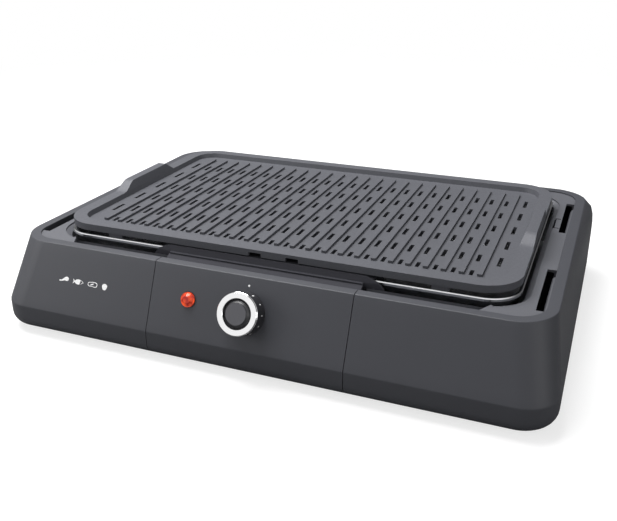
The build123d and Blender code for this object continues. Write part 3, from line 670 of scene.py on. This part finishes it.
class GRILL_OT_casing(bpy.types.Operator):
    """Build the casing and front panel from one section; dress the ledge and the bridge"""

    bl_idname = "grill.casing"
    bl_label = "Casing"

    shaft_hole = 3.8 * MM
    lamp_hole = 5.65 * MM
    cord_arch_x = 60.0 * MM
    cord_arch_half = 4.8 * MM
    cord_arch_top = 16.5 * MM
    cord_arch_reach = 34.0 * MM

    def execute(self, context):
        palette = colours()
        grain = sizes().grain / MM
        casing = moulded_plastic("abs_moulded_grained", palette.casing, grain, 0.5, gloss=0.3)
        form = CasingForm()
        self.build_shell(form, casing)
        self.build_panel(form, casing)
        name = "heat_plastic_moulded_grained"
        dress("inner_frame", moulded_plastic(name, palette.ledge, grain, 0.5, gloss=0.4))
        # Painted shade: the bridge gets a darker copy of the ledge's plastic for the shade under
        # the plate, and it is also rougher and less glossy
        name = "heat_plastic_moulded_painted_shade"
        dress("bridge", moulded_plastic(name, palette.bridge, grain, 0.8, gloss=0.08))
        return {"FINISHED"}

    def build_shell(self, form, material):
        """Casing: the section swept round the back, and a cheek at each side of the unit."""
        built = bmesh.new()
        section = form.section()
        outlines = [form.outline(around, inset, seat) for _, around, inset, seat in section]
        layers = []
        for index in range(len(outlines[0])):
            places = zip(outlines, section)
            layers.append([form.place(*outline[index], point[0]) for outline, point in places])
        skin_sections(built, layers)
        for side in (-1, 1):
            edges = [side * form.notch_half, side * (form.notch_half + form.cheek_wall)]
            cheek = self.cheek_outline(form)
            skin_sections(built, [[form.place(x, y, drop) for y, drop in cheek] for x in edges])
        shell = make_piece("casing_shell", built, material, "base")
        rear = form.middle_y + form.half_y
        arch_low = (self.cord_arch_x - self.cord_arch_half, rear - self.cord_arch_reach, 0.0)
        arch_high = (
            self.cord_arch_x + self.cord_arch_half,
            rear + self.cord_arch_reach,
            self.cord_arch_top,
        )
        cut_away(shell, [cutter_box(arch_low, arch_high)])
        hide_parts("base_shell")
        smooth_shading(shell)

    def cheek_outline(self, form):
        """Outline of a cheek inside the front wall, as distances from the middle and drops."""
        top = form.well_lip_depth
        low = form.rim_level - form.skirt_low - form.wall
        points = [(form.front_y(drop, form.wall), drop) for drop in (top, form.crease_drop)]
        for drop, around, inset, _ in form.skirt(form.skirt_round - form.wall, form.inner_steps):
            points.append((form.front_y(around, inset), drop))
        return points + [(form.recess_y, low), (form.recess_y, top)]

    def build_panel(self, form, material):
        """Front moulding of the control unit: the same section, straight, with its two holes."""
        built = bmesh.new()
        section = form.section()
        layers = []
        for x in (-form.unit_half, form.unit_half):
            places = [(form.front_y(around, inset), drop) for drop, around, inset, _ in section]
            layers.append([form.place(x, y, drop) for y, drop in places])
        skin_sections(built, layers)
        panel = make_piece("front_panel", built, material, "heater_unit")
        shaft = cutter_rod(0.0, 0.0, self.shaft_hole)
        cut_away(panel, [shaft, cutter_rod(*lamp_centre(), self.lamp_hole)])
        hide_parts("control_panel")
        smooth_shading(panel)


class GRILL_OT_plate(bpy.types.Operator):
    """Give the grill plate its coating"""

    bl_idname = "grill.plate"
    bl_label = "Grill plate"

    def execute(self, context):
        dress("grill_plate", non_stick_coating("cast_aluminium_non_stick_sprayed", colours().plate))
        return {"FINISHED"}


class GRILL_OT_tray(bpy.types.Operator):
    """Give the drip tray and heat shield their sheet metal"""

    bl_idname = "grill.tray"
    bl_label = "Tray and shield"

    def execute(self, context):
        palette = colours()
        dress("drip_tray", rolled_metal("stainless_steel_bright_rolled", palette.steel, 0.2, 0.8))
        sheet = rolled_metal("galvanised_steel_mill", palette.sheet, 0.45, 1.4)
        dress_all(("heat_shield", "element_combs", "thermostat_bracket"), sheet)
        return {"FINISHED"}


def filleted_path(points, radius):
    """Bezier points (place, left handle, right handle) of a path with round corners."""
    handle = radius * QUARTER_HANDLE
    # Handles along the straights only need to point the right way
    lead = radius * 0.3
    result = [(points[0], points[0], points[0])]
    for before, corner, after in zip(points, points[1:], points[2:]):
        into = (corner - before).normalized()
        out = (after - corner).normalized()
        start = corner - into * radius
        end = corner + out * radius
        result.append((start, start - into * lead, start + into * handle))
        result.append((end, end - out * handle, end + out * lead))
    result.append((points[-1], points[-1], points[-1]))
    return result


class GRILL_OT_element(bpy.types.Operator):
    """Build the heating element's round tube in place of its flat-sided solid"""

    bl_idname = "grill.element"
    bl_label = "Heating element"

    terminal_x = 26.0 * MM
    row_pitch = 52.0 * MM
    round_steps = 5
    bend_steps = 8

    def execute(self, context):
        low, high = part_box("heating_element")
        radius = sizes().tube_radius
        middle = (low.z + high.z) / 2
        inner, outer = self.terminal_x, high.x - radius
        rear = high.y - radius
        rows = [rear - self.row_pitch * step for step in (3, 2, 1, 0)]
        half = [(inner, low.y)]
        for row, ends in zip(rows, ((inner, outer), (outer, inner), (inner, outer))):
            half += [(x, row) for x in ends]
        half.append((outer, rows[-1]))
        route = [Vector((-x, y, middle)) for x, y in half]
        route += [Vector((x, y, middle)) for x, y in reversed(half)]
        curve = bpy.data.curves.new("heating_tube", "CURVE")
        curve.dimensions = "3D"
        curve.bevel_depth = radius
        curve.bevel_resolution = self.round_steps
        curve.resolution_u = self.bend_steps
        curve.use_fill_caps = True
        spline = curve.splines.new("BEZIER")
        path = filleted_path(route, sizes().tube_bend)
        spline.bezier_points.add(len(path) - 1)
        for point, (place, left, right) in zip(spline.bezier_points, path):
            point.handle_left_type = point.handle_right_type = "FREE"
            point.co, point.handle_left, point.handle_right = place, left, right
        tube = link_object("heating_tube", curve)
        curve.materials.append(oxidised_sheath("nickel_steel_oxidised", colours().element))
        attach(tube, "heater_unit")
        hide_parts("heating_element")
        return {"FINISHED"}


class GRILL_OT_dial(bpy.types.Operator):
    """Give the dial its plastic, turn its chrome ring and mark its side"""

    bl_idname = "grill.dial"
    bl_label = "Dial"

    mark_count = 9
    mark_step = math.radians(30)
    mark_first = math.radians(64)
    mark_half_width = 0.45 * MM
    mark_low = 5.2 * MM
    mark_sink = 0.15 * MM
    first_mark_factor = 1.8
    turned_sides = 120
    # Radius and height above the wall in millimetres, from the inner edge outward
    ring_profile = (
        (12.5, 13.9), (12.5, 16.3), (12.8, 16.6), (17.15, 16.6), (17.3, 16.45),
        (17.3, 15.6), (17.55, 15.6), (17.75, 15.4), (17.75, 13.9),
    )
    # Thin sheet over the ring's side and step, in the same units: painted shade of a groove round
    # the ring
    groove_shade_profile = (
        (17.25, 15.55), (17.25, 16.4), (17.36, 16.4), (17.36, 15.7), (17.55, 15.7), (17.55, 15.55),
    )

    def execute(self, context):
        palette = colours()
        body = moulded_plastic("abs_moulded_fine", palette.dial, 0.8, 0.4, depth_mm=0.01)
        dress("knob_body", body)
        cap = moulded_plastic("abs_moulded_satin", palette.cap, 0.8, 0.36, depth_mm=0.01)
        dress("knob_cap", cap)
        chrome = plated_chrome("chrome_plated_bright", palette.chrome)
        ring = self.turned_piece("turned_ring", self.ring_profile, chrome, "knob_chrome")
        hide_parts("knob_ring")
        # The dial's dark plastic laid over the chrome paints the shade in the ring's groove
        self.turned_piece("ring_groove_painted_shade", self.groove_shade_profile, body, "knob_plastic")
        dress("thermostat_shaft", rolled_metal("steel_turned_shaft", palette.sheet, 0.35, 0.6))
        ink = printed_ink("white_ink_dial", palette.print)
        built = bmesh.new()
        for number in range(self.mark_count):
            length = sizes().dial_mark * (1.0 if number else self.first_mark_factor)
            self.side_mark(built, self.mark_first - number * self.mark_step, length)
        make_piece("dial_marks", built, ink, "knob")
        return {"FINISHED"}

    def vertex(self, built, radius, angle, height):
        """Vertex at a radius and angle round the dial's axis and a height above the wall."""
        right, up = radius * math.cos(angle), radius * math.sin(angle)
        return built.verts.new(wall_point(right, up, height))

    def turned_piece(self, name, profile, material, slot):
        """Closed ring turned about the dial's axis."""
        built = bmesh.new()
        layers = []
        for step in range(self.turned_sides):
            angle = 2 * math.pi * step / self.turned_sides
            layers.append([self.vertex(built, out * MM, angle, up * MM) for out, up in profile])
        for layer, after in zip(layers, layers[1:] + layers[:1]):
            join_loops(built, layer, after)
        bmesh.ops.recalc_face_normals(built, faces=built.faces)
        piece = make_piece(name, built, material, "knob")
        smooth_shading(piece)
        return piece

    def side_mark(self, built, angle, length):
        """One raised mark that follows the dial's round side."""
        radius = sizes().dial_radius
        turn = self.mark_half_width / radius
        high = self.mark_low + length
        corners = ((-turn, self.mark_low), (turn, self.mark_low), (turn, high), (-turn, high))
        inner, outer = [
            [self.vertex(built, reach, angle + side, height) for side, height in corners]
            for reach in (radius - self.mark_sink, radius + sizes().print_thickness)
        ]
        built.faces.new(outer)
        built.faces.new(list(reversed(inner)))
        join_loops(built, inner, outer)


class GRILL_OT_lamp(bpy.types.Operator):
    """Give the pilot lamp its tinted lens and a thin seal round it"""

    bl_idname = "grill.lamp"
    bl_label = "Pilot lamp"

    lens_radius = 6.35 * MM
    seal_width = 0.45 * MM
    seal_height = 0.35 * MM
    seal_sides = 48

    def execute(self, context):
        palette = colours()
        dress("lamp_lens", tinted_lens("polycarbonate_tinted_faceted", palette.lens))
        built = bmesh.new()
        outer, inner = [
            ring_points(lamp_centre(), radius, radius, self.seal_sides)
            for radius in (self.lens_radius + self.seal_width, self.lens_radius)
        ]
        print_outline(built, outer, self.seal_height, inner)
        rubber = moulded_rubber("silicone_seal_moulded", palette.rubber)
        seal = make_piece("lamp_seal", built, rubber, "heater_unit")
        smooth_shading(seal)
        return {"FINISHED"}


class GRILL_OT_prints(bpy.types.Operator):
    """Print the pointer dot and four plain food symbols on the front wall"""

    bl_idname = "grill.prints"
    bl_label = "Printed marks"

    symbol_level = 0.1 * MM
    drumstick_x = -179.5 * MM
    fish_x = -164.5 * MM
    steak_x = -149.4 * MM
    fruit_x = -136.8 * MM
    bone_slant = math.radians(25)

    def execute(self, context):
        ink = printed_ink("white_ink_casing", colours().print)
        size = sizes()
        built = bmesh.new()
        dot = ring_points((0.0, size.pointer_height), size.pointer_radius, size.pointer_radius)
        print_outline(built, dot, size.print_thickness)
        make_piece("pointer_dot", built, ink, "heater_unit")
        built = bmesh.new()
        for draw in (self.drumstick, self.fish, self.steak, self.fruit):
            draw(built)
        make_piece("food_symbols", built, ink, "base")
        return {"FINISHED"}

    def shape(self, built, centre_x, points, hole=None):
        """Print points given from a symbol's own middle, in halves of its height."""
        unit = sizes().symbol_height / 2
        loops = [
            loop and [(centre_x + x * unit, self.symbol_level + y * unit) for x, y in loop]
            for loop in (points, hole)
        ]
        print_outline(built, loops[0], sizes().print_thickness, loops[1])

    def line(self, share):
        """Share of the line width, in halves of a symbol's height."""
        return share * sizes().symbol_line * 2 / sizes().symbol_height

    def drumstick(self, built):
        """Round meat at the right that tapers to a bone at the left."""
        meat = ring_points((0.9, 0.35), 0.95, 0.75, 16, -2.2, 4.6)
        bone = [(-1.2, -0.25), (-2.1, -0.3), (-2.0, -0.75), (-0.9, -0.6)]
        self.shape(built, self.drumstick_x, meat + bone)

    def fish(self, built):
        """Round body with an open pointed head and a forked tail."""
        self.shape(built, self.fish_x, ring_points((0.0, 0.0), 1.5, 0.9, 18, 0.9, 4.4))
        self.shape(built, self.fish_x, [(-1.3, 0.0), (-2.3, 0.9), (-2.0, 0.0), (-2.3, -0.9)])
        line = self.line(0.6)
        outer = [(1.15, 0.75), (2.2, 0.0), (1.15, -0.75)]
        inner = [(1.15, line - 0.75), (2.2 - line * 1.6, 0.0), (1.15, 0.75 - line)]
        self.shape(built, self.fish_x, outer + inner)

    def steak(self, built):
        """Outlined slice with soft corners and a small slanted bone inside."""
        outer, inner = [self.slice_outline(inset) for inset in (0.0, self.line(0.85))]
        self.shape(built, self.steak_x, outer, inner)
        turn = Matrix.Rotation(self.bone_slant, 2)
        bone = [turn @ Vector(point) for point in ring_points((0.0, 0.0), 0.8, 0.22, 12)]
        self.shape(built, self.steak_x, [(x - 0.2, y) for x, y in bone])

    def slice_outline(self, inset):
        """Slice that is lower and rounder at its left end."""
        points = []
        for side, rise in ring_points((0.0, 0.0), 1.0, 1.0, 24):
            # A power below one makes the ellipse squarer
            x = math.copysign(abs(side) ** 0.6, side) * (2.0 - inset)
            y = math.copysign(abs(rise) ** 0.6, rise) * (0.95 - inset)
            points.append((x, y * (1.0 if x > 0 else 0.85)))
        return points

    def fruit(self, built):
        """Rounded shape that narrows downwards."""
        shoulders = ring_points((0.0, 0.1), 1.05, 0.95, 12, 0.0, math.pi)
        base = ring_points((0.0, -0.2), 0.9, 1.0, 12, math.pi, math.pi)
        self.shape(built, self.fruit_x, shoulders + [(-1.05, 0.1)] + base[1:])


class GRILL_OT_fittings(bpy.types.Operator):
    """Give the covers, inner fittings, screws and feet their materials"""

    bl_idname = "grill.fittings"
    bl_label = "Covers and fittings"

    def execute(self, context):
        palette = colours()
        plain = moulded_plastic("polypropylene_moulded_plain", palette.inner, 1.6, 0.55)
        dress_all(("base_plate", "rear_cover", "bottom_cover"), plain)
        rubber = moulded_rubber("nitrile_rubber_moulded", palette.rubber)
        dress_all(("rubber_feet", "cord_gland"), rubber)
        fitting = moulded_plastic("phenolic_moulded_plain", palette.ceramic, 1.4, 0.5)
        dress_all(("thermostat_body", "lamp_holder", "thermal_cutout", "terminal_block"), fitting)
        dress("element_bushes", rolled_metal("steel_zinc_plated", palette.sheet, 0.4, 0.7))
        brass = rolled_metal("brass_turned", palette.brass, 0.3, 0.6)
        dress_all(("thermostat_nut", "element_pins"), brass)
        dress("sensor_bulb", rolled_metal("copper_plated_bulb", palette.steel, 0.3, 0.6))
        return {"FINISHED"}


class GRILL_OT_screws(bpy.types.Operator):
    """Put cross-head screws under the base plate, one below each boss of the casing"""

    bl_idname = "grill.screws"
    bl_label = "Screws"

    side_x = 232.0 * MM
    end_x = 150.0 * MM
    front_y = -165.0 * MM
    rear_y = 152.0 * MM
    head_radius = 3.4 * MM
    head_sides = 24
    head_height = 1.2 * MM
    cross_length = 3.6 * MM
    cross_width = 0.8 * MM
    cross_depth = 0.5 * MM

    def execute(self, context):
        low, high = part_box("inner_frame")
        middle = (low.y + high.y) / 2
        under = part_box("base_plate")[0].z
        places = []
        for side in (-1, 1):
            places.append((side * self.side_x, middle))
            places += [(side * self.end_x, middle + y) for y in (self.front_y, self.rear_y)]
        built = bmesh.new()
        for x, y in places:
            self.head(built, Vector((x, y, under)))
        zinc = rolled_metal("steel_zinc_plated_screw", colours().sheet, 0.35, 0.7)
        make_piece("base_screw_heads", built, zinc, "base")
        return {"FINISHED"}

    def head(self, built, place):
        """Low domed head that hangs below the plate, with a sunk cross."""
        rings = [
            (self.head_radius, 0.0),
            (self.head_radius, -self.head_height * 0.5),
            (self.head_radius * 0.8, -self.head_height),
        ]
        layers = []
        for radius, drop in rings:
            points = ring_points((place.x, place.y), radius, radius, self.head_sides)
            layers.append([built.verts.new((x, y, place.z + drop)) for x, y in points])
        for upper, lower in zip(layers, layers[1:]):
            join_loops(built, lower, upper)
        built.faces.new(layers[0])
        self.cross(built, layers[-1], place + Vector((0, 0, -self.head_height)))

    def cross(self, built, edge, place):
        """Close the head with a face that has a sunk cross."""
        long, wide = self.cross_length / 2, self.cross_width / 2
        # One arm, clockwise, then the same turned three times by a quarter
        arm = [(long, wide), (long, -wide), (wide, -wide)]
        outline = []
        for _ in range(4):
            outline += arm
            arm = [(y, -x) for x, y in arm]
        outline.reverse()
        rim = [built.verts.new(place + Vector((x, y, 0))) for x, y in outline]
        floor = [built.verts.new(place + Vector((x, y, self.cross_depth))) for x, y in outline]
        built.faces.new(list(reversed(floor)))
        join_loops(built, rim, floor)
        rings = []
        for loop in (edge, rim):
            rings += [built.edges.get(pair) for pair in zip(loop, loop[1:] + loop[:1])]
        bmesh.ops.triangle_fill(built, use_beauty=True, edges=rings)


class GRILL_OT_stage(bpy.types.Operator):
    """Build the floor, backdrop, lamps and camera"""

    bl_idname = "grill.stage"
    bl_label = "Stage"

    image_width = 617
    image_height = 521
    principal_x = 311.31
    principal_y = 243.32
    sensor_width = 36.0
    camera_place = (0.2606, -0.66823, 0.3472)
    azimuth = 0.38157
    elevation = 0.38608
    roll = -0.00204
    floor_radius = 1.6
    floor_sides = 96
    fade_start = 0.45
    # Shares of the floor's colour in lit paper and in bounced light, and the paper's own light
    paper_share = 0.35
    bounce_share = 0.2
    paper_glow = 0.72
    # Strength of the room in front and behind, as it lights and as it is mirrored
    lighting_room = (0.4, 0.14)
    mirrored_room = (1.0, 0.12)
    # Depth of the viewing direction where the room starts and ends to darken
    room_fade = (-0.15, 0.45)
    # Place, target and side length in metres
    top_lamp = ((-0.45, 0.15, 1.35), (0, 0, 0), 1.1)
    left_lamp = ((-0.95, -0.7, 0.45), (-0.1, 0, 0.05), 0.5)
    right_lamp = ((1.25, -0.5, 0.35), (0.2, -0.1, 0.05), 0.5)

    def execute(self, context):
        self.build_floor()
        self.build_world()
        self.build_lamps()
        self.build_camera()
        bpy.context.scene.view_settings.view_transform = "Standard"
        return {"FINISHED"}

    def build_floor(self):
        """Pale disc that fades to white and keeps the object's shadow."""
        built = bmesh.new()
        size = {"segments": self.floor_sides, "radius": self.floor_radius}
        bmesh.ops.create_circle(built, cap_ends=True, **size)
        floor = mesh_object("studio_floor", built)
        floor.data.materials.append(self.floor_material())

    def floor_material(self):
        """Matt paper: white where it is seen, with a grey bounce, as under soft lamps."""
        material, tree = new_material("paper_floor_matt")
        distance = add_node(
            tree,
            "ShaderNodeVectorMath",
            settings={"operation": "LENGTH"},
            links={0: object_position(tree)},
        )
        fade = spread(tree, distance.outputs["Value"], 0.0, 1.0, self.fade_start, self.floor_radius)
        lit = self.matt_floor(tree, self.paper_share)
        glow = self.glowing_floor(tree, self.paper_glow)
        paper = add_node(tree, "ShaderNodeAddShader", links={0: lit, 1: glow}).outputs[0]
        faded = mix_shaders(tree, fade, paper, self.glowing_floor(tree, 1.0))
        bounce = self.matt_floor(tree, self.bounce_share)
        choice = mix_shaders(tree, self.seen_rays(tree), bounce, faded)
        add_node(tree, "ShaderNodeOutputMaterial", links={"Surface": choice})
        return material

    def matt_floor(self, tree, share):
        """Matt surface with a share of the floor's colour."""
        tint = rgba(stage_settings().floor, share)
        return add_node(tree, "ShaderNodeBsdfDiffuse", inputs={"Color": tint}).outputs[0]

    def glowing_floor(self, tree, strength):
        return add_node(tree, "ShaderNodeEmission", inputs={"Strength": strength}).outputs[0]

    def seen_rays(self, tree):
        """One for rays that show the backdrop: to the camera, also through glass."""
        path = add_node(tree, "ShaderNodeLightPath")
        either = add_node(
            tree,
            "ShaderNodeMath",
            settings={"operation": "MAXIMUM"},
            links={0: path.outputs["Is Camera Ray"], 1: path.outputs["Is Transmission Ray"]},
        )
        return either.outputs[0]

    def build_world(self):
        """White background where it is seen, and a softer light on the object."""
        world = bpy.data.worlds.new("studio_world")
        bpy.context.scene.world = world
        world.use_nodes = True
        tree = world.node_tree
        tree.nodes.clear()
        white = add_node(tree, "ShaderNodeBackground", inputs={"Color": WHITE, "Strength": 1.0})
        lighting = self.room(tree, *self.lighting_room)
        mirrored = self.room(tree, *self.mirrored_room)
        glossy = add_node(tree, "ShaderNodeLightPath").outputs["Is Glossy Ray"]
        unseen = mix_shaders(tree, glossy, lighting, mirrored)
        choice = mix_shaders(tree, self.seen_rays(tree), unseen, white.outputs[0])
        add_node(tree, "ShaderNodeOutputWorld", links={"Surface": choice})

    def room(self, tree, front, rear):
        """White room, bright in front and above, dim behind the grill as a dark studio wall."""
        way = add_node(tree, "ShaderNodeTexCoord").outputs["Generated"]
        depth = add_node(tree, "ShaderNodeSeparateXYZ", links={0: way}).outputs["Y"]
        room = add_node(
            tree,
            "ShaderNodeBackground",
            inputs={"Color": WHITE},
            links={"Strength": spread(tree, depth, front, rear, *self.room_fade)},
        )
        return room.outputs[0]

    def build_lamps(self):
        settings = stage_settings()
        self.lamp("lamp_top", *self.top_lamp, settings.top_power)
        self.lamp("lamp_front_left", *self.left_lamp, settings.side_power)
        self.lamp("lamp_right", *self.right_lamp, settings.fill_power)

    def lamp(self, name, place, target, size, power):
        """Square soft lamp that faces a target."""
        data = bpy.data.lights.new(name, "AREA")
        data.shape = "SQUARE"
        data.size = size
        data.energy = power
        lamp = link_object(name, data)
        lamp.location = place
        aim = Vector(target) - Vector(place)
        lamp.rotation_euler = aim.to_track_quat("-Z", "Y").to_euler()

    def build_camera(self):
        """Camera at the place and angle from which the photograph was taken."""
        data = bpy.data.cameras.new("photo_camera")
        data.sensor_fit = "HORIZONTAL"
        data.sensor_width = self.sensor_width
        data.lens = stage_settings().focal_length
        data.shift_x = (self.image_width / 2 - self.principal_x) / self.image_width
        data.shift_y = (self.principal_y - self.image_height / 2) / self.image_width
        data.clip_start = 0.01
        camera = link_object("photo_camera", data)
        level = math.cos(self.elevation)
        side, depth = math.sin(self.azimuth) * level, -math.cos(self.azimuth) * level
        back = Vector((side, depth, math.sin(self.elevation)))
        right = (-back).cross(Vector((0, 0, 1))).normalized()
        up = right.cross(-back)
        turned_right = right * math.cos(self.roll) + up * math.sin(self.roll)
        turned_up = up * math.cos(self.roll) - right * math.sin(self.roll)
        matrix = Matrix((turned_right, turned_up, back)).transposed().to_4x4()
        matrix.translation = Vector(self.camera_place)
        camera.matrix_world = matrix
        bpy.context.scene.camera = camera


OPERATORS = (
    GRILL_OT_casing,
    GRILL_OT_plate,
    GRILL_OT_tray,
    GRILL_OT_element,
    GRILL_OT_dial,
    GRILL_OT_lamp,
    GRILL_OT_prints,
    GRILL_OT_fittings,
    GRILL_OT_screws,
    GRILL_OT_stage,
)


class GRILL_PT_sidebar(bpy.types.Panel):
    """Buttons and settings of the grill"""

    bl_idname = "GRILL_PT_sidebar"
    bl_label = "Electric grill"
    bl_space_type = "VIEW_3D"
    bl_region_type = "UI"
    bl_category = "Grill"

    def draw(self, context):
        layout = self.layout
        for operator in OPERATORS:
            layout.operator(operator.bl_idname)
        for group in (colours(), sizes(), stage_settings()):
            column = layout.column()
            for name in group.__annotations__:
                column.prop(group, name)


GROUPS = {"grill_colours": GrillColours, "grill_sizes": GrillSizes, "grill_stage": GrillStage}
CLASSES = (*GROUPS.values(), *OPERATORS, GRILL_PT_sidebar)


def register():
    for item in CLASSES:
        bpy.utils.register_class(item)
    for name, group in GROUPS.items():
        setattr(bpy.types.Scene, name, bpy.props.PointerProperty(type=group))


def unregister():
    for name in GROUPS:
        delattr(bpy.types.Scene, name)
    for item in reversed(CLASSES):
        bpy.utils.unregister_class(item)


def main():
    register()
    for operator in OPERATORS:
        group, name = operator.bl_idname.split(".")
        getattr(getattr(bpy.ops, group), name)()


if __name__ == "__main__":
    main()
